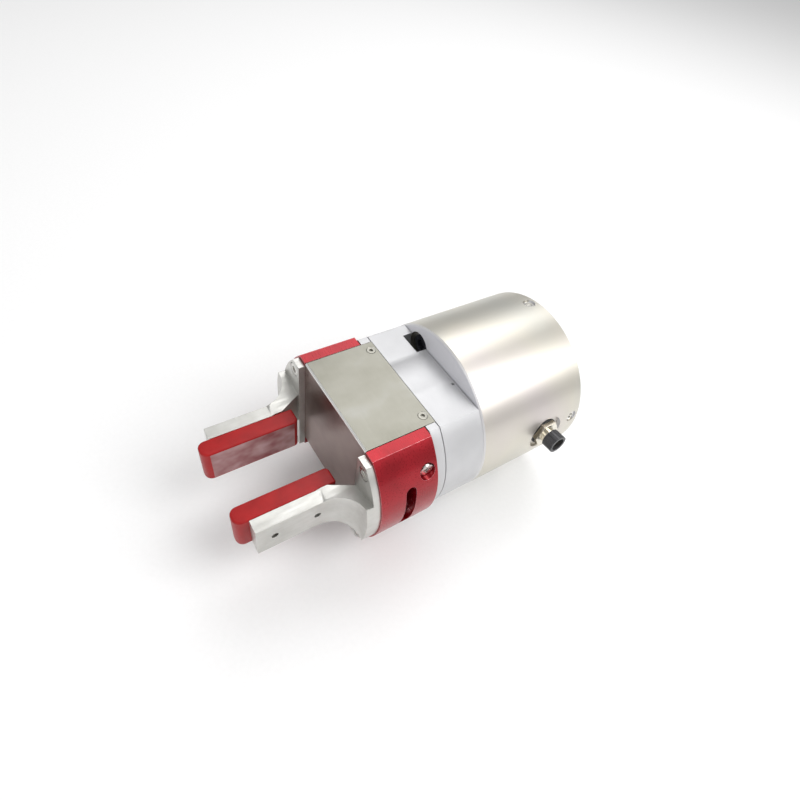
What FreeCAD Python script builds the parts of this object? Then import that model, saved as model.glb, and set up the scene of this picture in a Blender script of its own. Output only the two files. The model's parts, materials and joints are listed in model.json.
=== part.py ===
import FreeCAD, Part
import Sketcher

import math
import os

from FreeCAD import Placement, Rotation, Vector

# Two-finger parallel gripper. Every piece is drawn in a tool frame: x to the gripper's right-hand jaw,
# y up, and z forward from the rear mounting face to the fingertips. TOOL turns that frame into the
# part's own: +X right-hand jaw, +Z up, fingers towards -Y, origin in the middle of the mounting face.
TOOL = Placement(Vector(0, 0, 0), Rotation(Vector(1, 0, 0), 90))
HALF_TURN = Placement(Vector(0, 0, 0), Rotation(Vector(0, 0, 1), 180))

doc = FreeCAD.newDocument("parallel_gripper")
sheet = doc.addObject("Spreadsheet::Sheet", "Sizes")
subparts = []


class Size:
    """A number that carries the spreadsheet formula that it comes from."""

    def __init__(self, value, text):
        self.value = value
        self.text = text

    def _join(self, other, value, sign):
        return Size(value, "(%s %s %s)" % (self.text, sign, size(other).text))

    def __add__(self, other):
        return self._join(other, self.value + size(other).value, "+")

    def __sub__(self, other):
        return self._join(other, self.value - size(other).value, "-")

    def __mul__(self, other):
        return self._join(other, self.value * size(other).value, "*")

    def __truediv__(self, other):
        return self._join(other, self.value / size(other).value, "/")

    def __neg__(self):
        return Size(-self.value, "(-1 * %s)" % self.text)


class Free(Size):
    """A sketch coordinate that the sketch's other constraints decide."""

    def __init__(self, value):
        Size.__init__(self, value, None)


def size(value):
    return value if isinstance(value, Size) else Size(float(value), repr(float(value)))


def cell(alias, value):
    """Put one driving dimension in the sheet and give it back as a Size."""
    row = len(sheet.getUsedCells()) // 2 + 1
    sheet.set("A%d" % row, alias.replace("_", " "))
    sheet.set("B%d" % row, str(value))
    sheet.setAlias("B%d" % row, alias)
    return Size(float(value), "Sizes." + alias)


class Thread:
    """The sizes that go with one size of screw, in millimetres."""

    def __init__(self, name, shank, tapped, clear, head, head_hole, head_height):
        self.shank = cell(name + "_shank_radius", shank)
        self.tapped = cell(name + "_tapped_radius", tapped)
        self.clear = cell(name + "_clear_radius", clear)
        self.head = cell(name + "_head_radius", head)
        self.head_hole = cell(name + "_head_hole_radius", head_hole)
        self.head_height = cell(name + "_head_height", head_height)


# --- driving dimensions, in millimetres and degrees -------------------------------------------------
# Gaps between pieces, and how far a cut runs past the face that it starts from.
press_gap = cell("press_gap", 0.02)
slip_gap = cell("slip_gap", 0.05)
free_gap = cell("free_gap", 0.1)
overshoot = cell("overshoot", 1.0)
long_cut = cell("long_cut", 60.0)

m2 = Thread("m2", shank=1.0, tapped=1.05, clear=1.1, head=1.25, head_hole=1.3, head_height=1.2)
m2_5 = Thread("m2_5", shank=1.25, tapped=1.3, clear=1.35, head=2.25, head_hole=2.4, head_height=2.0)
m3 = Thread("m3", shank=1.5, tapped=1.55, clear=1.65, head=2.75, head_hole=3.0, head_height=2.8)
m4 = Thread("m4", shank=2.0, tapped=2.05, clear=2.2, head=3.5, head_hole=4.2, head_height=4.0)
m5 = Thread("m5", shank=2.5, tapped=2.55, clear=2.6, head=4.25, head_hole=6.0, head_height=3.0)

# Rear housing.
shell_radius = cell("shell_radius", 38.0)
shell_wall = cell("shell_wall", 3.4)
shell_length = cell("shell_length", 55.6)
shell_end_wall = cell("shell_end_wall", 6.0)
rim_chamfer = cell("rim_chamfer", 0.6)
wall_cut_start = cell("wall_cut_start", 30.0)
rim_screw_z = cell("rim_screw_z", 4.4)
rim_screw_angle = cell("rim_screw_angle", 9.5)
rim_screw_length = cell("rim_screw_length", 6.0)
rim_seat_radius = cell("rim_seat_radius", 35.9)
rim_thread_start = cell("rim_thread_start", 27.0)
rim_head_radius = cell("rim_head_radius", 2.5)
rim_head_hole_radius = cell("rim_head_hole_radius", 2.7)
rim_head_height = cell("rim_head_height", 1.5)

# Mounting face.
mount_pcd = cell("mount_pcd", 50.0)
mount_hole_angle = cell("mount_hole_angle", 45.0)
mount_hole_radius = cell("mount_hole_radius", 3.3)
mount_head_radius = cell("mount_head_radius", 5.6)
mount_seat = cell("mount_seat", 3.0)
mount_plate_thickness = cell("mount_plate_thickness", 7.0)
spigot_radius = cell("spigot_radius", 15.72)
spigot_height = cell("spigot_height", 4.0)
spigot_chamfer = cell("spigot_chamfer", 0.5)
locating_pin_radius = cell("locating_pin_radius", 3.0)
seated_pin_radius = cell("seated_pin_radius", 3.9)
pin_half_length = cell("pin_half_length", 5.0)

# Connector.
connector_z = cell("connector_z", 19.4)
connector_angle = cell("connector_angle", 5.0)
connector_pocket_radius = cell("connector_pocket_radius", 8.7)
connector_floor = cell("connector_floor", 36.2)
connector_foot = cell("connector_foot", 31.0)
connector_flange_radius = cell("connector_flange_radius", 5.2)
connector_flange_length = cell("connector_flange_length", 3.1)
connector_barrel_radius = cell("connector_barrel_radius", 3.5)
connector_barrel_length = cell("connector_barrel_length", 9.7)
connector_bore_radius = cell("connector_bore_radius", 2.7)
connector_bore_floor = cell("connector_bore_floor", 33.0)
connector_ring_radius = cell("connector_ring_radius", 4.3)
connector_ring_length = cell("connector_ring_length", 5.2)
connector_ring_lift = cell("connector_ring_lift", 4.4)
connector_mouth_radius = cell("connector_mouth_radius", 3.1)
connector_lip_length = cell("connector_lip_length", 1.6)
connector_nut_flats = cell("connector_nut_flats", 11.5)
connector_nut_length = cell("connector_nut_length", 2.2)
connector_seal_radius = cell("connector_seal_radius", 6.6)
connector_seal_thickness = cell("connector_seal_thickness", 0.6)
knurl_radius = cell("knurl_radius", 0.28)
insert_radius = cell("insert_radius", 2.6)
insert_length = cell("insert_length", 9.6)
contact_ring_radius = cell("contact_ring_radius", 1.5)
contact_angle = cell("contact_angle", 45.0)
contact_radius = cell("contact_radius", 0.4)
contact_length = cell("contact_length", 10.7)

# Control board.
board_radius = cell("board_radius", 31.0)
board_thickness = cell("board_thickness", 1.6)
board_lift = cell("board_lift", 2.8)
board_screw_radius = cell("board_screw_radius", 28.0)
board_screw_offset = cell("board_screw_offset", 11.0)
board_screw_length = cell("board_screw_length", 4.2)
board_notch_start = cell("board_notch_start", 29.0)
board_notch_low = cell("board_notch_low", 7.0)
board_notch_high = cell("board_notch_high", 9.0)
standoff_flats = cell("standoff_flats", 5.0)

# Motor, gearhead and the pieces that hold them.
motor_radius = cell("motor_radius", 18.2)
motor_clearance = cell("motor_clearance", 0.3)
motor_rear = cell("motor_rear", 22.0)
motor_front = cell("motor_front", 46.0)
motor_chamfer = cell("motor_chamfer", 1.0)
motor_lip_depth = cell("motor_lip_depth", 0.6)
motor_lip_length = cell("motor_lip_length", 2.0)
encoder_rear = cell("encoder_rear", 14.0)
encoder_radius = cell("encoder_radius", 17.0)
encoder_wall = cell("encoder_wall", 1.5)
encoder_chamfer = cell("encoder_chamfer", 0.5)
gearhead_front = cell("gearhead_front", 68.4)
gearhead_inset = cell("gearhead_inset", 0.2)
pilot_radius = cell("pilot_radius", 9.9)
pilot_height = cell("pilot_height", 1.8)
shaft_rear = cell("shaft_rear", 59.0)
gearhead_screw_radius = cell("gearhead_screw_radius", 14.0)
gearhead_screw_angle = cell("gearhead_screw_angle", 45.0)
gearhead_screw_length = cell("gearhead_screw_length", 6.5)
gearhead_thread_depth = cell("gearhead_thread_depth", 6.0)
motor_ring_length = cell("motor_ring_length", 6.0)
front_screw_radius = cell("front_screw_radius", 28.8)
front_screw_angle = cell("front_screw_angle", 122.8)
front_screw_length = cell("front_screw_length", 7.0)
front_recess_depth = cell("front_recess_depth", 4.2)
block_screw_radius = cell("block_screw_radius", 23.5)
block_screw_angle = cell("block_screw_angle", 77.8)
block_screw_length = cell("block_screw_length", 13.0)

# Middle block, guide plate and cover.
block_radius = cell("block_radius", 37.8)
block_length = cell("block_length", 19.0)
flat_height = cell("flat_height", 26.8)
shadow_gap = cell("shadow_gap", 0.35)
shadow_depth = cell("shadow_depth", 0.7)
relief_depth = cell("relief_depth", 4.8)
block_thread_depth = cell("block_thread_depth", 9.0)
gearhead_seat_depth = cell("gearhead_seat_depth", 3.0)
block_bore_radius = cell("block_bore_radius", 6.4)
block_bore_gap = cell("block_bore_gap", 0.2)
top_hole_radius = cell("top_hole_radius", 0.6)
top_hole_x = cell("top_hole_x", 11.1)
top_hole_step = cell("top_hole_step", 1.5)
top_hole_depth = cell("top_hole_depth", 2.5)
guide_plate_thickness = cell("guide_plate_thickness", 4.8)
guide_bore_radius = cell("guide_bore_radius", 6.6)
guide_screw_x = cell("guide_screw_x", 25.0)
guide_screw_y = cell("guide_screw_y", 14.5)
guide_screw_length = cell("guide_screw_length", 10.5)
guide_head_radius = cell("guide_head_radius", 4.0)
guide_thread_depth = cell("guide_thread_depth", 8.0)
sheet_thickness = cell("sheet_thickness", 1.2)
cover_half_width = cell("cover_half_width", 23.6)
cover_side_gap = cell("cover_side_gap", 0.15)
cover_front = cell("cover_front", 105.0)
cover_front_gap = cell("cover_front_gap", 2.5)
cover_bevel = cell("cover_bevel", 5.5)
cover_fold_radius = cell("cover_fold_radius", 0.9)
cover_screw_x = cell("cover_screw_x", 19.2)
cover_screw_z = cell("cover_screw_z", 77.4)
cover_screw_length = cell("cover_screw_length", 4.5)
cover_head_radius = cell("cover_head_radius", 1.85)
cover_thread_depth = cell("cover_thread_depth", 6.0)

# Slide unit.
slide_half_width = cell("slide_half_width", 22.4)
slide_half_height = cell("slide_half_height", 25.3)
slide_screw_x = cell("slide_screw_x", 17.0)
slide_screw_y = cell("slide_screw_y", 22.0)
slide_seat_depth = cell("slide_seat_depth", 6.2)
slide_bore_radius = cell("slide_bore_radius", 5.4)
pinion_room_radius = cell("pinion_room_radius", 9.6)
pinion_room_gap = cell("pinion_room_gap", 0.8)
rod_radius = cell("rod_radius", 3.0)
rod_height = cell("rod_height", 16.3)
rod_z = cell("rod_z", 84.4)
rod_reach = cell("rod_reach", 31.5)
rod_end = cell("rod_end", 30.45)
rod_clearance = cell("rod_clearance", 0.4)
rod_thread_start = cell("rod_thread_start", 20.0)
bush_radius = cell("bush_radius", 3.9)
bush_start = cell("bush_start", 2.4)
bush_length = cell("bush_length", 19.9)

# Pinion and its bearings.
shaft_radius = cell("shaft_radius", 4.0)
shaft_overhang = cell("shaft_overhang", 1.0)
spacer_radius = cell("spacer_radius", 5.0)
bearing_radius = cell("bearing_radius", 8.0)
bearing_width = cell("bearing_width", 4.0)
bearing_gap = cell("bearing_gap", 0.3)
bearing_relief = cell("bearing_relief", 1.8)
race_middle = cell("race_middle", 6.0)
race_half_gap = cell("race_half_gap", 0.75)
ball_radius = cell("ball_radius", 1.0)
gear_module = cell("gear_module", 1.0)
pinion_teeth = cell("pinion_teeth", 16)
backlash = cell("backlash", 0.1)
key_half_width = cell("key_half_width", 1.0)
key_bottom = cell("key_bottom", 2.8)
key_top = cell("key_top", 5.0)

# Racks.
rack_width = cell("rack_width", 4.0)
rack_z = cell("rack_z", 92.0)
rack_back = cell("rack_back", 11.4)
rack_reach = cell("rack_reach", 36.0)
rack_play = cell("rack_play", 0.15)
foot_low = cell("foot_low", 5.2)
foot_high = cell("foot_high", 24.0)
foot_outer = cell("foot_outer", 27.85)
foot_half_width = cell("foot_half_width", 3.8)
foot_screw_low = cell("foot_screw_low", 16.4)
foot_screw_high = cell("foot_screw_high", 21.4)
foot_screw_seat = cell("foot_screw_seat", 26.0)
foot_screw_length = cell("foot_screw_length", 5.0)

# Jaws.
jaw_inner = cell("jaw_inner", 23.9)
jaw_shift = cell("jaw_shift", 1.7)
jaw_rear = cell("jaw_rear", 79.9)
jaw_cut_start = cell("jaw_cut_start", 20.0)
slot_half_height = cell("slot_half_height", 12.9)
slot_half_width = cell("slot_half_width", 2.3)
foot_thread_end = cell("foot_thread_end", 31.6)
rod_room_end = cell("rod_room_end", 33.0)
rod_screw_seat = cell("rod_screw_seat", 33.2)
rod_screw_length = cell("rod_screw_length", 9.0)
rod_screw_head_radius = cell("rod_screw_head_radius", 2.85)
rod_screw_head_height = cell("rod_screw_head_height", 2.0)
rod_screw_hole_radius = cell("rod_screw_hole_radius", 3.35)
cross_slot_floor = cell("cross_slot_floor", 34.0)
cross_slot_reach = cell("cross_slot_reach", 1.6)
cross_slot_half_width = cell("cross_slot_half_width", 0.3)

# Fingers and pads.
finger_plate_thickness = cell("finger_plate_thickness", 2.8)
finger_plate_radius = cell("finger_plate_radius", 37.3)
finger_plate_half_height = cell("finger_plate_half_height", 25.3)
finger_screw_x = cell("finger_screw_x", 28.0)
finger_screw_y = cell("finger_screw_y", 20.6)
finger_screw_length = cell("finger_screw_length", 10.0)
finger_thread_depth = cell("finger_thread_depth", 8.9)
finger_head_height = cell("finger_head_height", 1.3)
finger_seat_depth = cell("finger_seat_depth", 1.4)
arm_inner = cell("arm_inner", 19.5)
arm_outer = cell("arm_outer", 25.1)
arm_half_height = cell("arm_half_height", 7.8)
arm_tip = cell("arm_tip", 147.3)
arm_bend = cell("arm_bend", 117.3)
arm_root_inner = cell("arm_root_inner", 24.6)
arm_root_half_height = cell("arm_root_half_height", 11.4)
arm_root_rear = cell("arm_root_rear", 105.5)
arm_reach = cell("arm_reach", 45.0)
fan_start = cell("fan_start", 15.0)
fan_half_height = cell("fan_half_height", 8.4)
fan_width = cell("fan_width", 12.0)
flare_radius = cell("flare_radius", 11.0)
flare_step = cell("flare_step", 3.0)
pad_inner = cell("pad_inner", 12.2)
pad_half_height = cell("pad_half_height", 8.2)
pad_back = cell("pad_back", 113.3)
pad_tip = cell("pad_tip", 152.4)
pad_heel_radius = cell("pad_heel_radius", 1.6)
pad_nose_radius = cell("pad_nose_radius", 2.6)
pad_screw_front = cell("pad_screw_front", 140.4)
pad_screw_back = cell("pad_screw_back", 123.6)
pad_screw_seat = cell("pad_screw_seat", 20.9)
pad_screw_length = cell("pad_screw_length", 6.0)
pad_thread_start = cell("pad_thread_start", 14.5)
doc.recompute()

shell_inner = shell_radius - shell_wall
shell_floor = shell_length - shell_end_wall
block_front = shell_length + block_length
guide_front = block_front + guide_plate_thickness
slide_rear = guide_front + free_gap
rack_front = rack_z + rack_width / 2
rack_rear = rack_z - rack_width / 2
slide_split = rack_front + free_gap
slide_front = cover_front - cover_front_gap
finger_front = cover_front + finger_plate_thickness
cover_seat = flat_height - sheet_thickness - slip_gap
pitch_radius = gear_module * pinion_teeth / 2
QUARTERS = (0, 90, 180, 270)
KNURLS = 18
BALLS = 9
RACK_GAPS = 13
FOLD_ANGLE = 45
PRESSURE_ANGLE = 20
FLANK_STEPS = 5
ADDENDUM, DEDENDUM, RACK_TIP = 1.0, 1.25, 1.05
SOCKET_DEPTH, FLAT_KEY_WIDTH, FLAT_KEY_DEPTH = 0.6, 0.8, 0.8
CAD_TOLERANCE = 0.01


# --- small tools for building pieces ----------------------------------------------------------------
def bind(item, name, value):
    item.setExpression(name, size(value).text)


def polar(radius, angle):
    """The x and y of a point at a radius and an angle in degrees."""
    radius, angle = size(radius), size(angle)
    turn = math.radians(angle.value)
    x = Size(radius.value * math.cos(turn), "%s * cos(%s)" % (radius.text, angle.text))
    y = Size(radius.value * math.sin(turn), "%s * sin(%s)" % (radius.text, angle.text))
    return x, y


def put(item, at, rotation=Rotation()):
    """Place an item, with the three coordinates bound to the sheet."""
    item.Placement = Placement(Vector(*(size(value).value for value in at)), rotation)
    for letter, value in zip("xyz", at):
        bind(item, ".Placement.Base." + letter, value)
    return item


def along(axis):
    """The rotation that turns z into the named axis."""
    turns = {"z": Rotation(), "x": Rotation(Vector(0, 1, 0), 90), "-x": Rotation(Vector(0, 1, 0), -90),
             "y": Rotation(Vector(1, 0, 0), -90), "-y": Rotation(Vector(1, 0, 0), 90),
             "-z": Rotation(Vector(1, 0, 0), 180)}
    return turns[axis]


def cylinder(radius, length, at=(0, 0, 0), axis="z"):
    item = doc.addObject("Part::Cylinder", "Cylinder")
    bind(item, "Radius", radius)
    bind(item, "Height", length)
    return put(item, at, along(axis))


def cone(radius_start, radius_end, length, at=(0, 0, 0), axis="z"):
    item = doc.addObject("Part::Cone", "Cone")
    bind(item, "Radius1", radius_start)
    bind(item, "Radius2", radius_end)
    bind(item, "Height", length)
    return put(item, at, along(axis))


def box(low, high):
    item = doc.addObject("Part::Box", "Box")
    for name, start, end in zip(("Length", "Width", "Height"), low, high):
        bind(item, name, size(end) - start)
    return put(item, low)


def hexagon(across_flats, length, at=(0, 0, 0), axis="z"):
    item = doc.addObject("Part::Prism", "Prism")
    item.Polygon = 6
    bind(item, "Circumradius", size(across_flats) / math.sqrt(3))
    bind(item, "Height", length)
    return put(item, at, along(axis))


def sphere(radius, at):
    item = doc.addObject("Part::Sphere", "Sphere")
    bind(item, "Radius", radius)
    return put(item, at)


def torus(ring_radius, tube_radius, at):
    item = doc.addObject("Part::Torus", "Torus")
    bind(item, "Radius1", ring_radius)
    bind(item, "Radius2", tube_radius)
    return put(item, at)


def fuse(items):
    joined = doc.addObject("Part::MultiFuse", "Fuse")
    joined.Shapes = items
    return joined


def cut(base, tools):
    result = doc.addObject("Part::Cut", "Cut")
    result.Base = base
    result.Tool = tools[0] if len(tools) == 1 else fuse(tools)
    return result


def common(items):
    result = doc.addObject("Part::MultiCommon", "Common")
    result.Shapes = items
    return result


def group(items):
    result = doc.addObject("Part::Compound", "Group")
    result.Links = items
    return result


def subpart(label, item, placement=TOOL):
    """Name a finished piece and set it in the part's own frame."""
    if any("Placement" in path for path, _ in item.ExpressionEngine):
        item = group([item])
    item.Label = label
    item.Placement = placement.multiply(item.Placement)
    subparts.append(item)
    return item


def cap_screw(shank_radius, length, head_radius, head_height, at, axis, socket=True):
    """A screw whose head sits on the spot and whose shank runs from there along the axis."""
    head = cylinder(head_radius, head_height, (0, 0, -size(head_height)))
    body = fuse([head, cylinder(shank_radius, length)])
    if socket:
        depth = size(head_height) * SOCKET_DEPTH
        key = hexagon(head_radius, depth, (0, 0, -size(head_height)))
        body = cut(body, [key])
    return put(body, at, along(axis))


def flat_screw(shank_radius, length, head_radius, at, axis):
    """A countersunk screw whose flat head is flush with the spot."""
    head_height = size(head_radius) - shank_radius
    head = cone(head_radius, shank_radius, head_height)
    body = fuse([head, cylinder(shank_radius, length)])
    key = hexagon(size(head_radius) * FLAT_KEY_WIDTH, head_height * FLAT_KEY_DEPTH)
    return put(cut(body, [key]), at, along(axis))


# --- sketches and PartDesign bodies -----------------------------------------------------------------
def new_body(name):
    return doc.addObject("PartDesign::Body", name)


def origin_feature(body, role):
    return next(item for item in body.Origin.OriginFeatures if item.Role == role)


def sketch_on(body, name, role, offset=0, turn=0):
    """A sketch on one of the body's own origin planes, moved along its normal by offset."""
    sketch = body.newObject("Sketcher::SketchObject", name)
    sketch.AttachmentSupport = [(origin_feature(body, role), "")]
    sketch.MapMode = "FlatFace"
    rotation = Rotation(Vector(0, 1, 0), size(turn).value)
    sketch.AttachmentOffset = Placement(rotation.multVec(Vector(0, 0, size(offset).value)), rotation)
    if size(turn).value == 0:
        bind(sketch, ".AttachmentOffset.Base.z", offset)
    return sketch


def fix_point(sketch, edge, end, x, y):
    """Hold one end of an edge at x and y, measured from the sketch's origin."""
    for kind, value, axis in (("DistanceX", size(x), -2), ("DistanceY", size(y), -1)):
        if value.text is None:
            continue
        if value.value == 0:
            sketch.addConstraint(Sketcher.Constraint("PointOnObject", edge, end, axis))
            continue
        index = sketch.addConstraint(Sketcher.Constraint(kind, -1, 1, edge, end, value.value))
        sketch.setExpression("Constraints[%d]" % index, value.text)


def circle(sketch, radius, x=0, y=0):
    radius, x, y = size(radius), size(x), size(y)
    shape = Part.Circle(Vector(x.value, y.value, 0), Vector(0, 0, 1), radius.value)
    edge = sketch.addGeometry(shape, False)
    index = sketch.addConstraint(Sketcher.Constraint("Radius", edge, radius.value))
    sketch.setExpression("Constraints[%d]" % index, radius.text)
    fix_point(sketch, edge, 3, x, y)


def outline(sketch, points, arcs=None):
    """A closed outline. arcs maps an edge's number to its (centre x, centre y, radius, clockwise)."""
    arcs = arcs or {}
    first = len(sketch.Geometry)
    spots = [Vector(size(x).value, size(y).value, 0) for x, y in points]
    for number, start in enumerate(spots):
        end = spots[(number + 1) % len(spots)]
        if number not in arcs:
            sketch.addGeometry(Part.LineSegment(start, end), False)
            continue
        centre_x, centre_y, radius, clockwise = arcs[number]
        centre = Vector(size(centre_x).value, size(centre_y).value, 0)
        ring = Part.Circle(centre, Vector(0, 0, 1), size(radius).value)
        head, tail = (end, start) if clockwise else (start, end)
        low = math.atan2(head.y - centre.y, head.x - centre.x)
        high = math.atan2(tail.y - centre.y, tail.x - centre.x)
        if high <= low:
            high += 2 * math.pi
        sketch.addGeometry(Part.ArcOfCircle(ring, low, high), False)
    count = len(spots)
    for number in range(count):
        following = (number + 1) % count
        end = 1 if number in arcs and arcs[number][3] else 2
        start = 2 if following in arcs and arcs[following][3] else 1
        sketch.addConstraint(Sketcher.Constraint("Coincident", first + number, end, first + following, start))
    for number, (x, y) in enumerate(points):
        start = 2 if number in arcs and arcs[number][3] else 1
        fix_point(sketch, first + number, start, x, y)
    for number, (centre_x, centre_y, radius, _) in arcs.items():
        fix_point(sketch, first + number, 3, centre_x, centre_y)
        if size(radius).text is not None:
            index = sketch.addConstraint(Sketcher.Constraint("Radius", first + number, size(radius).value))
            sketch.setExpression("Constraints[%d]" % index, size(radius).text)


def feature(body, kind, name, sketch, length, midplane=False, reverse=False):
    item = body.newObject("PartDesign::" + kind, name)
    item.Profile = sketch
    bind(item, "Length", length)
    item.Midplane = midplane
    item.Reversed = reverse
    sketch.Visibility = False
    return item


def pad(body, name, sketch, length, midplane=False, reverse=False):
    return feature(body, "Pad", name, sketch, length, midplane, reverse)


def pocket(body, name, sketch, length, midplane=False, reverse=False):
    """Cut a sketch out of the body, and stop if it removes nothing."""
    doc.recompute()
    before = body.Shape.Volume
    item = feature(body, "Pocket", name, sketch, length, midplane, reverse)
    doc.recompute()
    if body.Shape.Volume > before - CAD_TOLERANCE:
        raise RuntimeError("%s cuts nothing from %s" % (name, body.Name))
    return item


def repeat_round(body, name, originals, count=4):
    """A full-circle pattern about the body's z axis, made the body's tip."""
    pattern = body.newObject("PartDesign::PolarPattern", name)
    pattern.Originals = originals
    pattern.Axis = (origin_feature(body, "Z_Axis"), [""])
    pattern.Angle = 360
    pattern.Occurrences = count
    body.Tip = pattern
    return pattern


def revolve(body, name, points):
    """Turn a profile, given as (radius, z) points, about the body's z axis."""
    sketch = sketch_on(body, name + "_profile", "XZ_Plane")
    outline(sketch, points)
    item = body.newObject("PartDesign::Revolution", name)
    item.Profile = sketch
    item.ReferenceAxis = (sketch, ["V_Axis"])
    item.Angle = 360
    return item


def round_holes(body, name, radius, depth, z, spots, downward=False):
    """Round pockets along z, starting at height z, on every (x, y) spot."""
    sketch = sketch_on(body, name + "_centres", "XY_Plane", z)
    for x, y in spots:
        circle(sketch, radius, x, y)
    return pocket(body, name, sketch, depth, reverse=not downward)


def mirror_spots(x, y):
    x, y = size(x), size(y)
    return [(x, y), (-x, y), (-x, -y), (x, -y)]


def ring_spots(radius, angle, angles=QUARTERS):
    return [polar(radius, size(angle) + step) for step in angles]


# --- rear housing -----------------------------------------------------------------------------------
def make_housing_shell():
    bore = motor_radius + motor_clearance
    body = new_body("HousingShell")
    revolve(body, "ShellTurning", [
        (shell_inner, 0), (shell_radius - rim_chamfer, 0), (shell_radius, rim_chamfer),
        (shell_radius, shell_length - rim_chamfer), (shell_radius - rim_chamfer, shell_length),
        (bore, shell_length), (bore, shell_floor), (shell_inner, shell_floor)])
    for name, radius, start in (("RimHole", m3.clear, wall_cut_start),
                                ("RimCounterbore", rim_head_hole_radius, rim_seat_radius)):
        hole = radial_hole(body, name, radius, start, rim_screw_angle, rim_screw_z)
        repeat_round(body, name + "s", [hole])
    for name, radius, start in (("ConnectorHole", connector_barrel_radius + free_gap, wall_cut_start),
                                ("ConnectorPocket", connector_pocket_radius, connector_floor)):
        radial_hole(body, name, radius, start, connector_angle, connector_z)
    spots = ring_spots(front_screw_radius, front_screw_angle)
    round_holes(body, "FrontRecesses", m5.head_hole, front_recess_depth, shell_length, spots, downward=True)
    round_holes(body, "FrontHoles", m5.clear, long_cut, shell_length, spots, downward=True)
    round_holes(body, "BlockScrewHoles", m4.clear, long_cut, shell_length,
                ring_spots(block_screw_radius, block_screw_angle), downward=True)
    subpart("housing_shell", body)


def radial_hole(body, name, radius, start, angle, z):
    """A round hole that runs outwards from the start radius, at an angle about the body's z axis."""
    sketch = sketch_on(body, name + "_centre", "YZ_Plane", start, angle)
    circle(sketch, radius, 0, z)
    return pocket(body, name, sketch, long_cut, reverse=True)


def make_mounting_plate():
    radius = shell_inner - free_gap
    body = new_body("MountingPlate")
    revolve(body, "PlateTurning", [
        (0, -spigot_height), (spigot_radius - spigot_chamfer, -spigot_height),
        (spigot_radius, spigot_chamfer - spigot_height), (spigot_radius, 0), (radius, 0),
        (radius, mount_plate_thickness), (0, mount_plate_thickness)])
    spots = ring_spots(mount_pcd / 2, mount_hole_angle)
    round_holes(body, "WristHoles", mount_hole_radius, long_cut, 0, spots)
    round_holes(body, "WristCounterbores", mount_head_radius, long_cut, mount_seat, spots)
    round_holes(body, "PinHole", seated_pin_radius + press_gap, long_cut, 0, [(mount_pcd / 2, 0)])
    thread = radial_hole(body, "RimThread", m3.tapped, rim_thread_start, rim_screw_angle, rim_screw_z)
    repeat_round(body, "RimThreads", [thread])
    subpart("mounting_plate", body)


def make_rear_fasteners():
    free_end = cylinder(locating_pin_radius, pin_half_length, (mount_pcd / 2, 0, -pin_half_length))
    seated_end = cylinder(seated_pin_radius, pin_half_length, (mount_pcd / 2, 0, 0))
    subpart("locating_pin", fuse([free_end, seated_end]))
    screws = []
    for step in QUARTERS:
        screw = cap_screw(m3.shank, rim_screw_length, rim_head_radius, rim_head_height,
                          (rim_seat_radius, 0, rim_screw_z), "-x")
        holder = group([screw])
        holder.Placement = Placement(Vector(), Rotation(Vector(0, 0, 1), rim_screw_angle.value + step))
        screws.append(holder)
    subpart("shell_screws", group(screws))


# --- connector --------------------------------------------------------------------------------------
def radial(start, length, radius):
    """A cylinder that runs outwards along the connector's axis."""
    return cylinder(radius, length, (start, 0, connector_z), "x")


def radial_cut(start, radius):
    """A long cutting cylinder that runs outwards along the connector's axis."""
    return radial(start, long_cut, radius)


def knurl(start, angle):
    """One groove of the knurl along the connector's ring."""
    y, z = polar(connector_ring_radius + free_gap, angle)
    return cylinder(knurl_radius, long_cut, (start - overshoot, y, connector_z + z), "x")


def make_connector():
    turned = TOOL.multiply(Placement(Vector(), Rotation(Vector(0, 0, 1), connector_angle.value)))
    floor, foot = connector_floor, connector_foot
    neck = connector_barrel_radius + slip_gap
    barrel = fuse([radial(foot, connector_flange_length, connector_flange_radius),
                   radial(foot + connector_flange_length, connector_barrel_length, connector_barrel_radius)])
    bore = radial_cut(connector_bore_floor, connector_bore_radius)
    subpart("connector_barrel", cut(barrel, [bore]), turned)
    seal = radial(floor, connector_seal_thickness, connector_seal_radius)
    subpart("connector_seal", cut(seal, [radial_cut(floor - overshoot, neck)]), turned)
    nut_start = floor + connector_seal_thickness + slip_gap
    nut = hexagon(connector_nut_flats, connector_nut_length, (nut_start, 0, connector_z), "x")
    subpart("connector_nut", cut(nut, [radial_cut(floor - overshoot, neck)]), turned)
    start = floor + connector_ring_lift
    room = connector_ring_length - connector_lip_length + overshoot
    ring = cut(radial(start, connector_ring_length, connector_ring_radius),
               [radial(start - overshoot, room, neck), radial_cut(start, connector_mouth_radius)])
    knurls = [knurl(start, 360 * number / KNURLS) for number in range(KNURLS)]
    subpart("connector_ring", cut(ring, knurls), turned)
    spots = ring_spots(contact_ring_radius, contact_angle)
    insert_start = connector_bore_floor + free_gap
    holes = [cylinder(contact_radius + press_gap, long_cut, (foot, x, connector_z + y), "x")
             for x, y in spots]
    insert = radial(insert_start, insert_length, insert_radius)
    subpart("connector_insert", cut(insert, holes), turned)
    pins = [cylinder(contact_radius, contact_length, (insert_start, x, connector_z + y), "x")
            for x, y in spots]
    subpart("connector_pins", group(pins), turned)


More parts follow.
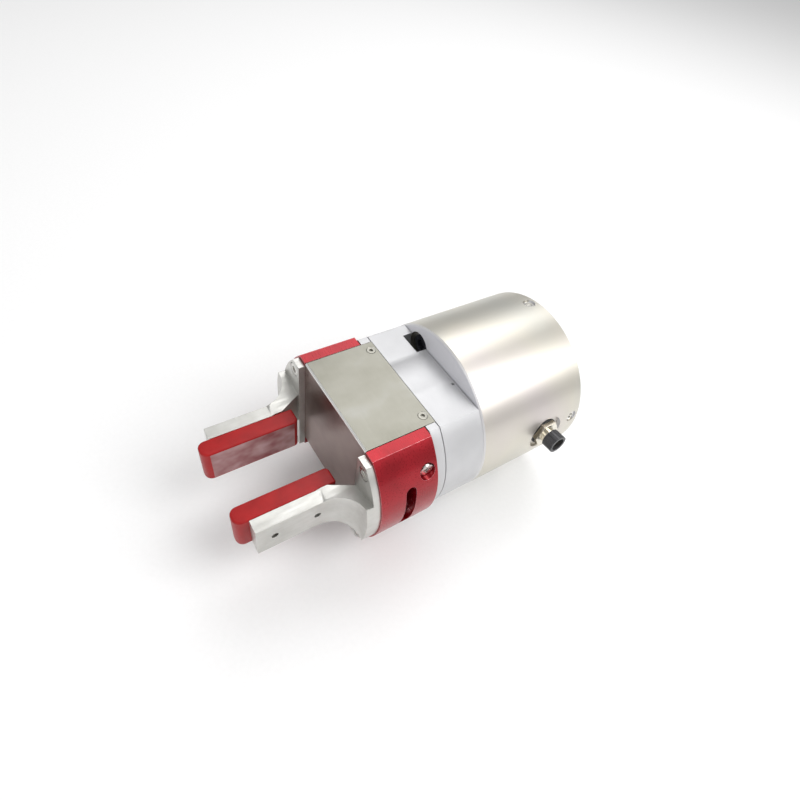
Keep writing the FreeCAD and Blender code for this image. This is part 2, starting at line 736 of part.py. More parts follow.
# --- control board ----------------------------------------------------------------------------------
def make_control_board():
    """A round board on hexagonal standoffs, notched where the connector reaches in."""
    low = mount_plate_thickness + board_lift
    high = low + board_thickness
    spots = ring_spots(board_screw_radius, 0)[1:] + [(board_screw_radius, -board_screw_offset)]
    notch = box((board_notch_start, -board_notch_low, low - overshoot),
                (board_radius + overshoot, board_notch_high, high + overshoot))
    holes = [cylinder(m2_5.clear, long_cut, (x, y, low - overshoot)) for x, y in spots]
    board = cylinder(board_radius, board_thickness, (0, 0, low))
    subpart("control_board", cut(board, [notch] + holes))
    start = mount_plate_thickness + press_gap
    standoffs = []
    for x, y in spots:
        body = hexagon(standoff_flats, board_lift - slip_gap, (x, y, start))
        bore = cylinder(m2_5.tapped, long_cut, (x, y, start - overshoot))
        standoffs.append(cut(body, [bore]))
    subpart("board_standoffs", group(standoffs))
    screws = [cap_screw(m2_5.shank, board_screw_length, m2_5.head, m2_5.head_height,
                        (x, y, high + press_gap), "-z") for x, y in spots]
    subpart("board_screws", group(screws))


# --- motor, gearhead and the pieces that hold them --------------------------------------------------
def make_gearmotor():
    cap = new_body("EncoderCap")
    wall = encoder_radius - encoder_wall
    revolve(cap, "CapTurning", [
        (0, encoder_rear), (encoder_radius - encoder_chamfer, encoder_rear),
        (encoder_radius, encoder_rear + encoder_chamfer), (encoder_radius, motor_rear - slip_gap),
        (wall, motor_rear - slip_gap), (wall, encoder_rear + encoder_wall), (0, encoder_rear + encoder_wall)])
    subpart("encoder_cap", cap)
    motor = new_body("Motor")
    lip = motor_radius - motor_lip_depth
    revolve(motor, "MotorTurning", [
        (0, motor_rear), (motor_radius - motor_chamfer, motor_rear),
        (motor_radius, motor_rear + motor_chamfer),
        (motor_radius, motor_front - motor_lip_length), (lip, motor_front - motor_lip_length),
        (lip, motor_front - slip_gap), (0, motor_front - slip_gap)])
    subpart("motor", motor)
    gearhead = new_body("Gearhead")
    radius, bore = motor_radius - gearhead_inset, shaft_radius + free_gap
    pilot_front, bore_floor = gearhead_front + pilot_height, shaft_rear - overshoot
    revolve(gearhead, "GearheadTurning", [
        (0, motor_front), (radius, motor_front), (radius, gearhead_front), (pilot_radius, gearhead_front),
        (pilot_radius, pilot_front), (bore, pilot_front), (bore, bore_floor), (0, bore_floor)])
    spots = ring_spots(gearhead_screw_radius, gearhead_screw_angle)
    round_holes(gearhead, "FrontThreads", m3.tapped, gearhead_thread_depth, gearhead_front, spots,
                downward=True)
    subpart("gearhead", gearhead)
    screws = [cap_screw(m3.shank, gearhead_screw_length, m3.head, m3.head_height,
                        (x, y, block_front - gearhead_seat_depth), "-z") for x, y in spots]
    subpart("gearhead_screws", group(screws))


def make_motor_ring():
    ring = new_body("MotorRing")
    start, end = shell_floor - motor_ring_length, shell_floor - press_gap
    inner, outer = motor_radius + free_gap, shell_inner - free_gap * 2
    revolve(ring, "RingTurning", [(inner, start), (outer, start), (outer, end), (inner, end)])
    front_spots = ring_spots(front_screw_radius, front_screw_angle)
    block_spots = ring_spots(block_screw_radius, block_screw_angle)
    round_holes(ring, "RingThreads", m5.tapped, long_cut, start, front_spots)
    round_holes(ring, "HeadClearance", m4.head_hole, long_cut, start, block_spots)
    subpart("motor_ring", ring)
    screws = [cap_screw(m5.shank, front_screw_length, m5.head, m5.head_height,
                        (x, y, shell_length - front_recess_depth), "-z") for x, y in front_spots]
    subpart("motor_ring_screws", group(screws))
    screws = [cap_screw(m4.shank, block_screw_length, m4.head, m4.head_height, (x, y, shell_floor), "z")
              for x, y in block_spots]
    subpart("block_screws", group(screws))


# --- middle block and guide plate -------------------------------------------------------------------
def flat_sided_disc(sketch, inset=0):
    """The block's outline, pulled in by inset: a circle with a flat on top and a flat below."""
    radius, height = block_radius - inset, flat_height - inset
    half = math.sqrt(radius.value ** 2 - height.value ** 2)
    outline(sketch, [(Free(half), height), (Free(-half), height),
                     (Free(-half), -height), (Free(half), -height)],
            {1: (0, 0, radius, False), 3: (0, 0, radius, False)})


def block_slab(body, start, end):
    """A slab with the block's outline, whose rear edge is stepped in to leave a narrow shadow gap."""
    neck = sketch_on(body, "NeckOutline", "XY_Plane", start)
    flat_sided_disc(neck, shadow_depth)
    pad(body, "Neck", neck, shadow_gap)
    sketch = sketch_on(body, "SlabOutline", "XY_Plane", start + shadow_gap)
    flat_sided_disc(sketch)
    pad(body, "Slab", sketch, end - start - shadow_gap)


def make_mid_block():
    body = new_body("MidBlock")
    block_slab(body, shell_length, block_front)
    to_gearhead = gearhead_front - shell_length + block_bore_gap
    gearhead_spots = ring_spots(gearhead_screw_radius, gearhead_screw_angle)
    guide_spots = mirror_spots(guide_screw_x, guide_screw_y)
    round_holes(body, "GearheadBore", motor_radius - free_gap, to_gearhead, shell_length, [(0, 0)])
    to_pilot = to_gearhead + pilot_height
    round_holes(body, "PilotBore", pilot_radius + free_gap, to_pilot, shell_length, [(0, 0)])
    round_holes(body, "ShaftBore", block_bore_radius, long_cut, shell_length, [(0, 0)])
    round_holes(body, "Reliefs", m5.head_hole, relief_depth, shell_length,
                ring_spots(front_screw_radius, front_screw_angle))
    hole = sketch_on(body, "TopHole_centre", "XZ_Plane", -flat_height)
    circle(hole, top_hole_radius, top_hole_x, shell_length + top_hole_step)
    pocket(body, "TopHole", hole, top_hole_depth, reverse=True)
    round_holes(body, "RearThreads", m4.tapped, block_thread_depth, shell_length,
                ring_spots(block_screw_radius, block_screw_angle))
    round_holes(body, "GearheadHoles", m3.clear, long_cut, block_front, gearhead_spots, downward=True)
    round_holes(body, "GearheadHeads", m3.head_hole, gearhead_seat_depth, block_front, gearhead_spots,
                downward=True)
    round_holes(body, "FrontThreads", m4.tapped, guide_thread_depth, block_front, guide_spots, downward=True)
    subpart("mid_block", body)


def make_guide_plate():
    body = new_body("GuidePlate")
    block_slab(body, block_front + press_gap, guide_front)
    step = sketch_on(body, "CoverStep", "XY_Plane", block_front)
    edge, past = cover_half_width + cover_side_gap, block_radius + overshoot
    for low, high in ((cover_seat, past), (-past, -cover_seat)):
        outline(step, [(-edge, low), (edge, low), (edge, high), (-edge, high)])
    pocket(body, "CoverSteps", step, long_cut, reverse=True)
    spots = mirror_spots(guide_screw_x, guide_screw_y)
    round_holes(body, "BearingSeat", bearing_radius + press_gap, bearing_width, block_front, [(0, 0)])
    round_holes(body, "ShaftBore", guide_bore_radius, long_cut, block_front, [(0, 0)])
    round_holes(body, "ScrewHoles", m4.clear, long_cut, block_front, spots)
    round_holes(body, "SlideThreads", m3.tapped, long_cut, block_front, slide_screw_spots())
    cuts = [cone(guide_head_radius + free_gap, m4.shank + free_gap, guide_head_radius - m4.shank,
                 (x, y, guide_front), "-z") for x, y in spots]
    for x, y, axis in cover_screw_spots(cover_seat + free_gap):
        cuts.append(cylinder(m2.tapped, cover_thread_depth, (x, y, cover_screw_z), axis))
    subpart("guide_plate", cut(body, cuts))
    screws = [flat_screw(m4.shank, guide_screw_length, guide_head_radius, (x, y, guide_front), "-z")
              for x, y in spots]
    subpart("guide_plate_screws", group(screws))


# --- slide unit -------------------------------------------------------------------------------------
def slide_screw_spots():
    return [(slide_screw_x, size(0)), (-slide_screw_x, size(0)),
            (size(0), slide_screw_y), (size(0), -slide_screw_y)]


def make_slide_housing():
    """The block that the rods and racks slide in, open at the front."""
    block = box((-slide_half_width, -slide_half_height, slide_rear),
                (slide_half_width, slide_half_height, slide_split - press_gap))
    low, high = pitch_radius - gear_module - rack_play, rack_back + free_gap
    past = rod_reach
    cuts = [cylinder(slide_bore_radius, long_cut, (0, 0, slide_rear - overshoot)),
            cylinder(pinion_room_radius, long_cut, (0, 0, rack_rear - pinion_room_gap))]
    for bottom, top in ((low, high), (-high, -low)):
        cuts.append(box((-past, bottom, rack_rear - free_gap), (past, top, slide_split + overshoot)))
    for side, axis in ((1, "x"), (-1, "-x")):
        y = rod_height * side
        cuts.append(cylinder(rod_radius + rod_clearance, long_cut, (-past, y, rod_z), "x"))
        cuts.append(cylinder(bush_radius + press_gap, long_cut, (bush_start * side, y, rod_z), axis))
    cuts += [cylinder(m3.clear, long_cut, (x, y, slide_rear - overshoot)) for x, y in slide_screw_spots()]
    subpart("slide_housing", cut(block, cuts))


def make_bearing_plate():
    """The plate that closes the slide unit and carries the pinion's front bearing."""
    body = new_body("BearingPlate")
    sketch = sketch_on(body, "SideOutline", "YZ_Plane")
    top, front, bevel = slide_half_height, slide_front, cover_bevel
    outline(sketch, [(-top, slide_split), (top, slide_split), (top, front), (-top + bevel, front),
                     (-top, front - bevel)])
    pad(body, "Block", sketch, slide_half_width * 2, midplane=True)
    seat_depth = bearing_width + bearing_gap
    round_holes(body, "BearingSeat", bearing_radius + press_gap, seat_depth, slide_split, [(0, 0)])
    round_holes(body, "ShaftRelief", slide_bore_radius, bearing_relief, slide_split + seat_depth, [(0, 0)])
    round_holes(body, "ScrewHoles", m3.clear, long_cut, slide_split, slide_screw_spots())
    round_holes(body, "ScrewHeads", m3.head_hole, slide_seat_depth, front, slide_screw_spots(), downward=True)
    subpart("bearing_plate", body)
    seat = slide_front - slide_seat_depth
    length = seat - block_front - overshoot
    screws = [cap_screw(m3.shank, length, m3.head, m3.head_height, (x, y, seat), "-z")
              for x, y in slide_screw_spots()]
    subpart("slide_screws", group(screws))


def cover_screw_spots(height):
    """The x, y and inward axis of each of the cover's screws, at a height above and below the middle."""
    return [(x, height * side, axis) for side, axis in ((1, "-y"), (-1, "y"))
            for x in (cover_screw_x, -cover_screw_x)]


def make_cover():
    """One folded sheet over the slide unit: top, front and bottom, with a bevel along the lower fold."""
    body = new_body("FrontCover")
    sketch = sketch_on(body, "FoldedProfile", "YZ_Plane")
    top, front, bevel, skin, fold = flat_height, cover_front, cover_bevel, sheet_thickness, cover_fold_radius
    rear = block_front + cover_side_gap
    inner = skin * math.tan(math.radians(FOLD_ANGLE / 2))
    outline(sketch, [
        (top, rear), (top, front - fold), (top - fold, Free(front.value)), (-top + bevel, front),
        (-top, front - bevel), (-top, rear), (-top + skin, rear), (-top + skin, front - bevel - inner),
        (-top + bevel + inner, front - skin), (top - skin, front - skin), (top - skin, rear)],
        {1: (top - fold, front - fold, Free(fold.value), False)})
    pad(body, "Sheet", sketch, cover_half_width * 2, midplane=True)
    mouth, depth = cover_head_radius + cover_side_gap, cover_head_radius + cover_side_gap - m2.clear
    cuts, screws = [], []
    for x, y, axis in cover_screw_spots(flat_height):
        cuts.append(cone(mouth, m2.clear, depth, (x, y, cover_screw_z), axis))
        cuts.append(cylinder(m2.clear, cover_thread_depth, (x, y, cover_screw_z), axis))
        at = (x, y, cover_screw_z)
        screws.append(flat_screw(m2.shank, cover_screw_length, cover_head_radius, at, axis))
    subpart("front_cover", cut(body, cuts))
    subpart("cover_screws", group(screws))


# --- pinion and its bearings ------------------------------------------------------------------------
def grooved_ring(outer_radius, inner_radius, start):
    """One bearing ring with the balls' track turned into it."""
    ring = cylinder(outer_radius, bearing_width - press_gap * 2, (0, 0, start))
    bore = cylinder(inner_radius, long_cut, (0, 0, start - overshoot))
    track = torus(race_middle, ball_radius + slip_gap, (0, 0, start + bearing_width / 2))
    return cut(cut(ring, [bore]), [track])


def make_bearings():
    outer, inner, balls = [], [], []
    for start in (block_front + press_gap, slide_split + bearing_gap):
        outer.append(grooved_ring(bearing_radius, race_middle + race_half_gap, start))
        inner.append(grooved_ring(race_middle - race_half_gap, shaft_radius + press_gap, start))
        for number in range(BALLS):
            x, y = polar(race_middle, 360 * number / BALLS)
            balls.append(sphere(ball_radius, (x, y, start + bearing_width / 2)))
    subpart("bearing_outer_rings", group(outer))
    subpart("bearing_inner_rings", group(inner))
    subpart("bearing_balls", group(balls))


def pinion_outline():
    """Closed wire of an involute spur gear with a tooth on the +y axis, drawn about the origin."""
    module, teeth, pitch = gear_module.value, int(pinion_teeth.value), pitch_radius.value
    pressure = math.radians(PRESSURE_ANGLE)
    base = pitch * math.cos(pressure)
    tip, root = pitch + ADDENDUM * module, pitch - DEDENDUM * module
    half_tooth = math.pi / (2 * teeth) - backlash.value / (2 * pitch)
    at_pitch = math.tan(pressure) - pressure

    def flank(radius):
        """Half the tooth's angle at a radius."""
        if radius <= base:
            return half_tooth + at_pitch
        angle = math.acos(base / radius)
        return half_tooth + at_pitch - (math.tan(angle) - angle)

    def spot(radius, angle):
        return Vector(radius * math.sin(angle), radius * math.cos(angle), 0)

    steps = [base + (tip - base) * number / FLANK_STEPS for number in range(FLANK_STEPS + 1)]
    edges = []
    for number in range(teeth):
        middle = 2 * math.pi * number / teeth
        following = 2 * math.pi * (number + 1) / teeth
        rising = [spot(radius, middle - flank(radius)) for radius in steps]
        falling = [spot(radius, middle + flank(radius)) for radius in reversed(steps)]
        foot_in = spot(root, middle - flank(base))
        foot_out = spot(root, middle + flank(base))
        next_foot = spot(root, following - flank(base))
        for points in (rising, falling):
            curve = Part.BSplineCurve()
            curve.interpolate(points)
            edges.append(curve.toShape())
        edges.append(Part.Arc(rising[-1], spot(tip, middle), falling[0]).toShape())
        edges.append(Part.LineSegment(foot_in, rising[0]).toShape())
        edges.append(Part.LineSegment(falling[-1], foot_out).toShape())
        valley = spot(root, (middle + following) / 2)
        edges.append(Part.Arc(foot_out, valley, next_foot).toShape())
    return Part.Wire(Part.__sortEdges__(edges))


def make_pinion():
    blank = doc.addObject("Part::Feature", "PinionBlank")
    blank.Shape = Part.Face(pinion_outline()).extrude(Vector(0, 0, rack_width.value))
    blank.Placement = Placement(Vector(0, 0, rack_rear.value), Rotation())
    bore = cylinder(shaft_radius + press_gap, long_cut, (0, 0, shaft_rear))
    side, far = key_half_width + press_gap, key_top + press_gap
    keyway = box((-side, 0, rack_rear - overshoot), (side, far, rack_front + overshoot))
    subpart("pinion", cut(blank, [bore, keyway]))
    key = box((-key_half_width, key_bottom, rack_rear), (key_half_width, key_top, rack_front))
    subpart("pinion_key", key)
    shaft_front = slide_split + bearing_gap + bearing_width + shaft_overhang
    shaft = cylinder(shaft_radius, shaft_front - shaft_rear, (0, 0, shaft_rear))
    slot = box((-side, key_bottom - press_gap, rack_rear - slip_gap), (side, far, rack_front + slip_gap))
    subpart("pinion_shaft", cut(shaft, [slot]))
    spacer_start = block_front + bearing_width + free_gap
    spacer = cylinder(spacer_radius, rack_rear - spacer_start - slip_gap, (0, 0, spacer_start))
    bore = cylinder(shaft_radius + press_gap, long_cut, (0, 0, shaft_rear))
    subpart("pinion_spacer", cut(spacer, [bore]))


# --- jaws: the same pieces twice, the second set turned half round the tool axis ---------------------
def side_holes(body, name, radius, start, depth, spots):
    """Round pockets that run outwards along x, on every (y, z) spot."""
    sketch = sketch_on(body, name + "_centres", "YZ_Plane", start)
    for y, z in spots:
        circle(sketch, radius, y, z)
    return pocket(body, name, sketch, depth, reverse=True)


def foot_screw_spots():
    return [(foot_screw_low, rack_z), (foot_screw_high, rack_z)]


def make_jaw(side, placement):
    body = new_body(side + "Jaw")
    sketch = sketch_on(body, "JawOutline", "XY_Plane", jaw_rear)
    corner = Free(jaw_shift.value + math.sqrt(shell_radius.value ** 2 - flat_height.value ** 2))
    outline(sketch, [(jaw_inner, flat_height), (jaw_inner, -flat_height), (corner, -flat_height),
                     (corner, Free(flat_height.value))],
            {2: (jaw_shift, 0, shell_radius, False)})
    pad(body, "JawBlock", sketch, cover_front - jaw_rear)
    slot = sketch_on(body, "SlotOutline", "YZ_Plane", jaw_cut_start)
    high = slot_half_height - slot_half_width
    low_z, high_z = rack_z - slot_half_width, rack_z + slot_half_width
    outline(slot, [(-high, low_z), (high, low_z), (high, Free(high_z.value)), (-high, Free(high_z.value))],
            {1: (high, rack_z, Free(slot_half_width.value), False),
             3: (-high, rack_z, Free(slot_half_width.value), False)})
    pocket(body, "SideSlot", slot, long_cut, reverse=True)
    foot = sketch_on(body, "RackFootOutline", "YZ_Plane", jaw_cut_start)
    low, high, half = foot_low - free_gap, foot_high + free_gap, foot_half_width + free_gap
    outline(foot, [(low, rack_z - half), (high, rack_z - half), (high, rack_z + half), (low, rack_z + half)])
    start = jaw_cut_start
    pocket(body, "RackFootPocket", foot, foot_outer - start + free_gap, reverse=True)
    rod, other_rod = [(rod_height, rod_z)], [(-rod_height, rod_z)]
    side_holes(body, "RodSeat", rod_radius + press_gap, start, rod_end - start + slip_gap, rod)
    side_holes(body, "RodScrewHole", m3.clear, start, long_cut, rod)
    side_holes(body, "RodScrewHead", rod_screw_hole_radius, rod_screw_seat, long_cut, rod)
    side_holes(body, "RodRoom", rod_radius + rod_clearance, start, rod_room_end - start, other_rod)
    side_holes(body, "FootThreads", m2_5.tapped, start, foot_thread_end - start, foot_screw_spots())
    round_holes(body, "FingerThreads", m3.tapped, finger_thread_depth, cover_front,
                [(finger_screw_x, finger_screw_y), (finger_screw_x, -finger_screw_y)], downward=True)
    subpart(side.lower() + "_jaw", body, placement)


def make_rack(side, placement):
    pitch = gear_module * math.pi
    body = new_body(side + "Rack")
    bar = sketch_on(body, "BarOutline", "XY_Plane", rack_z)
    tips, end = pitch_radius - gear_module, jaw_inner + free_gap
    outline(bar, [(-rack_reach, tips), (end, tips), (end, rack_back), (-rack_reach, rack_back)])
    pad(body, "Bar", bar, rack_width, midplane=True)
    foot = sketch_on(body, "FootOutline", "XY_Plane", rack_z)
    outline(foot, [(jaw_inner, foot_low), (foot_outer, foot_low), (foot_outer, foot_high),
                   (jaw_inner, foot_high)])
    pad(body, "Foot", foot, foot_half_width * 2, midplane=True)
    gap = sketch_on(body, "GapOutline", "XY_Plane", rack_z)
    slope = math.tan(math.radians(PRESSURE_ANGLE))
    half = gear_module * (math.pi / 4) + backlash / 2
    mouth, floor = half + gear_module * (RACK_TIP * slope), half - gear_module * (DEDENDUM * slope)
    low, high = pitch_radius - gear_module * RACK_TIP, pitch_radius + gear_module * DEDENDUM
    outline(gap, [(pitch - mouth, low), (pitch + mouth, low), (pitch + floor, high), (pitch - floor, high)])
    cut_gap = pocket(body, "ToothGap", gap, rack_width * 2, midplane=True)
    row = body.newObject("PartDesign::LinearPattern", "ToothGaps")
    row.Originals = [cut_gap]
    row.Direction = (origin_feature(body, "X_Axis"), [""])
    row.Reversed = True
    row.Occurrences = RACK_GAPS
    bind(row, "Length", pitch * (RACK_GAPS - 1))
    body.Tip = row
    start = jaw_cut_start
    side_holes(body, "FootHoles", m2_5.clear, start, long_cut, foot_screw_spots())
    side_holes(body, "FootHeads", m2_5.head_hole, start, foot_screw_seat - start, foot_screw_spots())
    subpart(side.lower() + "_rack", body, placement)
    screws = [cap_screw(m2_5.shank, foot_screw_length, m2_5.head, m2_5.head_height,
                        (foot_screw_seat, y, z), "x") for y, z in foot_screw_spots()]
    subpart(side.lower() + "_rack_screws", group(screws), placement)


def make_guide_rod(side, placement):
    rod = cylinder(rod_radius, rod_end + rod_reach, (-rod_reach, rod_height, rod_z), "x")
    thread = cylinder(m3.tapped, long_cut, (rod_thread_start, rod_height, rod_z), "x")
    subpart(side.lower() + "_guide_rod", cut(rod, [thread]), placement)
    screw = cap_screw(m3.shank, rod_screw_length, rod_screw_head_radius, rod_screw_head_height,
                      (rod_screw_seat + press_gap, rod_height, rod_z), "-x", socket=False)
    past = cross_slot_floor + rod_screw_head_height
    arms = [box((cross_slot_floor, rod_height - wide, rod_z - high), (past, rod_height + wide, rod_z + high))
            for wide, high in ((cross_slot_reach, cross_slot_half_width),
                               (cross_slot_half_width, cross_slot_reach))]
    subpart(side.lower() + "_rod_screw", cut(screw, arms), placement)


def finger_plan(side):
    """The arm seen from above: a straight bar whose root bends outwards and flares to the rim."""
    body = new_body(side + "FingerPlan")
    sketch = sketch_on(body, "PlanOutline", "XZ_Plane")
    flare_x, flare_z = arm_outer + flare_radius, finger_front + flare_step
    outline(sketch, [
        (arm_outer, arm_tip), (arm_inner, arm_tip), (arm_inner, arm_bend), (arm_root_inner, finger_front),
        (arm_root_inner, arm_root_rear), (arm_reach, arm_root_rear), (arm_reach, flare_z), (flare_x, flare_z),
        (Free(arm_outer.value), flare_z + flare_radius)],
        {7: (flare_x, flare_z + flare_radius, Free(flare_radius.value), True)})
    pad(body, "Plan", sketch, long_cut, midplane=True)
    return body


def finger_side(side):
    """The arm seen from the side: the bar, widening at its root."""
    body = new_body(side + "FingerSide")
    sketch = sketch_on(body, "SideOutline", "YZ_Plane", fan_start)
    half, root = arm_half_height, arm_root_half_height
    end = finger_front + flare_step
    start, past = end + flare_radius, arm_tip + overshoot
    outline(sketch, [(-half, past), (-half, start), (-root, end), (-root, cover_front),
                     (root, cover_front), (root, end), (half, start), (half, past)])
    pad(body, "Side", sketch, long_cut)
    return body


def finger_fan(side):
    """The arm seen from the tip: the root fans out towards the rim."""
    body = new_body(side + "FingerFan")
    sketch = sketch_on(body, "FanOutline", "XY_Plane", cover_front)
    near, far = fan_half_height, arm_root_half_height
    fan_end = arm_root_inner + fan_width
    outline(sketch, [(fan_start, -near), (arm_root_inner, -near), (fan_end, -far), (arm_reach, -far),
                     (arm_reach, far), (fan_end, far), (arm_root_inner, near), (fan_start, near)])
    pad(body, "Fan", sketch, long_cut)
    return body


def finger_rim(side):
    """The round rim that the whole finger stays inside."""
    body = new_body(side + "FingerRim")
    sketch = sketch_on(body, "RimOutline", "XY_Plane", cover_front)
    circle(sketch, finger_plate_radius, jaw_shift, 0)
    pad(body, "Rim", sketch, long_cut)
    return body


def finger_plate(side):
    body = new_body(side + "FingerPlate")
    sketch = sketch_on(body, "PlateOutline", "XY_Plane", cover_front + press_gap)
    top = finger_plate_half_height
    corner = Free(math.sqrt(finger_plate_radius.value ** 2 - top.value ** 2) + jaw_shift.value)
    outline(sketch, [(cover_half_width, top), (cover_half_width, -top), (corner, -top), (corner, top)],
            {2: (jaw_shift, 0, finger_plate_radius, False)})
    pad(body, "Plate", sketch, finger_plate_thickness - press_gap)
    return body


def make_finger(side, placement):
    arm = common([finger_plan(side), finger_side(side), finger_fan(side), finger_rim(side)])
    cuts = []
    for z in (pad_screw_front, pad_screw_back):
        cuts.append(cylinder(m2.clear, long_cut, (fan_start, 0, z), "x"))
        cuts.append(cylinder(m2.head_hole, long_cut, (pad_screw_seat, 0, z), "x"))
    spots = [(finger_screw_x, finger_screw_y), (finger_screw_x, -finger_screw_y)]
    seat = finger_front - finger_seat_depth
    for x, y in spots:
        cuts.append(cylinder(m3.clear, long_cut, (x, y, cover_front - overshoot)))
        cuts.append(cylinder(m3.head_hole, long_cut, (x, y, seat)))
    subpart(side.lower() + "_finger", cut(fuse([finger_plate(side), arm]), cuts), placement)
    screws = [cap_screw(m3.shank, finger_screw_length, m3.head, finger_head_height,
                        (x, y, seat + press_gap), "-z") for x, y in spots]
    subpart(side.lower() + "_finger_screws", group(screws), placement)


def make_pad(side, placement):
    """The gripping pad: a block with a rounded nose and heel, screwed on from behind."""
    body = new_body(side + "Pad")
    sketch = sketch_on(body, "PadOutline", "XZ_Plane")
    outer, nose, heel = arm_inner - slip_gap, pad_nose_radius, pad_heel_radius
    outline(sketch, [
        (pad_inner, pad_back + heel), (pad_inner + heel, Free(pad_back.value)), (outer, pad_back),
        (outer, pad_tip - nose), (outer - nose, Free(pad_tip.value)), (pad_inner + nose, pad_tip),
        (Free(pad_inner.value), pad_tip - nose)],
        {0: (pad_inner + heel, pad_back + heel, Free(heel.value), False),
         3: (outer - nose, pad_tip - nose, Free(nose.value), False),
         5: (pad_inner + nose, pad_tip - nose, Free(nose.value), False)})
    pad(body, "PadBlock", sketch, pad_half_height * 2, midplane=True)
    spots = [(0, pad_screw_front), (0, pad_screw_back)]
    side_holes(body, "Threads", m2.tapped, pad_thread_start, long_cut, spots)
    subpart(side.lower() + "_pad", body, placement)
    screws = [cap_screw(m2.shank, pad_screw_length, m2.head, m2.head_height, (pad_screw_seat, y, z), "-x",
                        socket=False) for y, z in spots]
    subpart(side.lower() + "_pad_screws", group(screws), placement)


def make_bushes():
    sleeves = []
    for side, axis in ((1, "x"), (-1, "-x")):
        y = rod_height * side
        sleeve = cylinder(bush_radius, bush_length, ((bush_start + slip_gap) * side, y, rod_z), axis)
        bore = cylinder(rod_radius + slip_gap, long_cut, (-rod_reach, y, rod_z), "x")
        sleeves.append(cut(sleeve, [bore]))
    subpart("rod_bushes", group(sleeves))


def check_and_export():
    doc.recompute()
    for item in doc.Objects:
        if "Invalid" in item.State or "Error" in item.State:
            raise RuntimeError("%s (%s) failed: %s" % (item.Name, item.Label, item.State))
    os.makedirs("parts", exist_ok=True)
    for item in subparts:
        if item.Shape.isNull() or not item.Shape.isValid() or not item.Shape.Solids:
            raise RuntimeError("%s has no valid solid" % item.Label)
        item.Shape.exportStep("parts/%s.step" % item.Label)
        print("%-22s %2d solids %10.1f mm3" % (item.Label, len(item.Shape.Solids), item.Shape.Volume))


make_housing_shell()
make_mounting_plate()
make_rear_fasteners()
make_connector()
make_control_board()
make_gearmotor()
make_motor_ring()
make_mid_block()
make_guide_plate()
make_slide_housing()
make_bearing_plate()
make_cover()
make_bearings()
make_pinion()
make_bushes()
for jaw_side, jaw_place in (("Right", TOOL), ("Left", TOOL.multiply(HALF_TURN))):
    make_jaw(jaw_side, jaw_place)
    make_rack(jaw_side, jaw_place)
    make_guide_rod(jaw_side, jaw_place)
    make_finger(jaw_side, jaw_place)
    make_pad(jaw_side, jaw_place)
check_and_export()
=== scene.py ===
import json
import math

import bmesh
import bpy
from mathutils import Matrix, Vector


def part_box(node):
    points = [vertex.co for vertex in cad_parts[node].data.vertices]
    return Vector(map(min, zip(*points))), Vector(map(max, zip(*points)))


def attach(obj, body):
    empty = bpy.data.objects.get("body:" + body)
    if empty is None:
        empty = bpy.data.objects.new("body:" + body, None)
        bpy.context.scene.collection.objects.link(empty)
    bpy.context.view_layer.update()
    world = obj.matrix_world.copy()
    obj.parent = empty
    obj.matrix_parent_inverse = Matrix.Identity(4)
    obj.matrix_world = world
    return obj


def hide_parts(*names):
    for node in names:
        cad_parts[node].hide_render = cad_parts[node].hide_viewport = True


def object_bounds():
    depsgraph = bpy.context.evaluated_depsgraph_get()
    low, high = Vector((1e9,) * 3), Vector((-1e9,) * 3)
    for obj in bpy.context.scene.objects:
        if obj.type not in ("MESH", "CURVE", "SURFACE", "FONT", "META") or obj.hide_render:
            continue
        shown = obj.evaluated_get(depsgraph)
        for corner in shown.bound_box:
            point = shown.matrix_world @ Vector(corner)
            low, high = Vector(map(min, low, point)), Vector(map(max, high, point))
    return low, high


# Two-finger parallel gripper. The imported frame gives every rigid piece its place. This script gives the
# pieces their edges and materials, makes the two soft pads, and sets the light and the camera.
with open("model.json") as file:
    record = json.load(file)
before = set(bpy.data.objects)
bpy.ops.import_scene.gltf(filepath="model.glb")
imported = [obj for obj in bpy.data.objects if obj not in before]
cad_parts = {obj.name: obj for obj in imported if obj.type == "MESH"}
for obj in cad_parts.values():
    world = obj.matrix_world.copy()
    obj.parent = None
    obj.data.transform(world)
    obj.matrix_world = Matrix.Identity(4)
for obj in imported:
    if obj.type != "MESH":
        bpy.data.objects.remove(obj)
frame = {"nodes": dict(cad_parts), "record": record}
CAD_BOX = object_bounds()
MM = 0.001

# Directions in a piece's own frame. The gripper's long axis is Y, and its fingers point to -Y.
FRONT = (0.0, -1.0, 0.0)
FRONT_SLOPE = (0.0, -0.707, 0.707)
SQUARE_TO_AXIS = (1.0, 0.0, 1.0)


# --- materials: small tools -------------------------------------------------------------------------
NOISE_LOW = 0.3
NOISE_HIGH = 0.7
FACING_START = 0.55
FACING_FULL = 0.80
SLOPE_START = 0.80
SLOPE_FULL = 0.90
ROUND_START = 0.93
ROUND_FULL = 0.96


def even(size):
    """The same grain along x, y and z."""
    return (size, size, size)


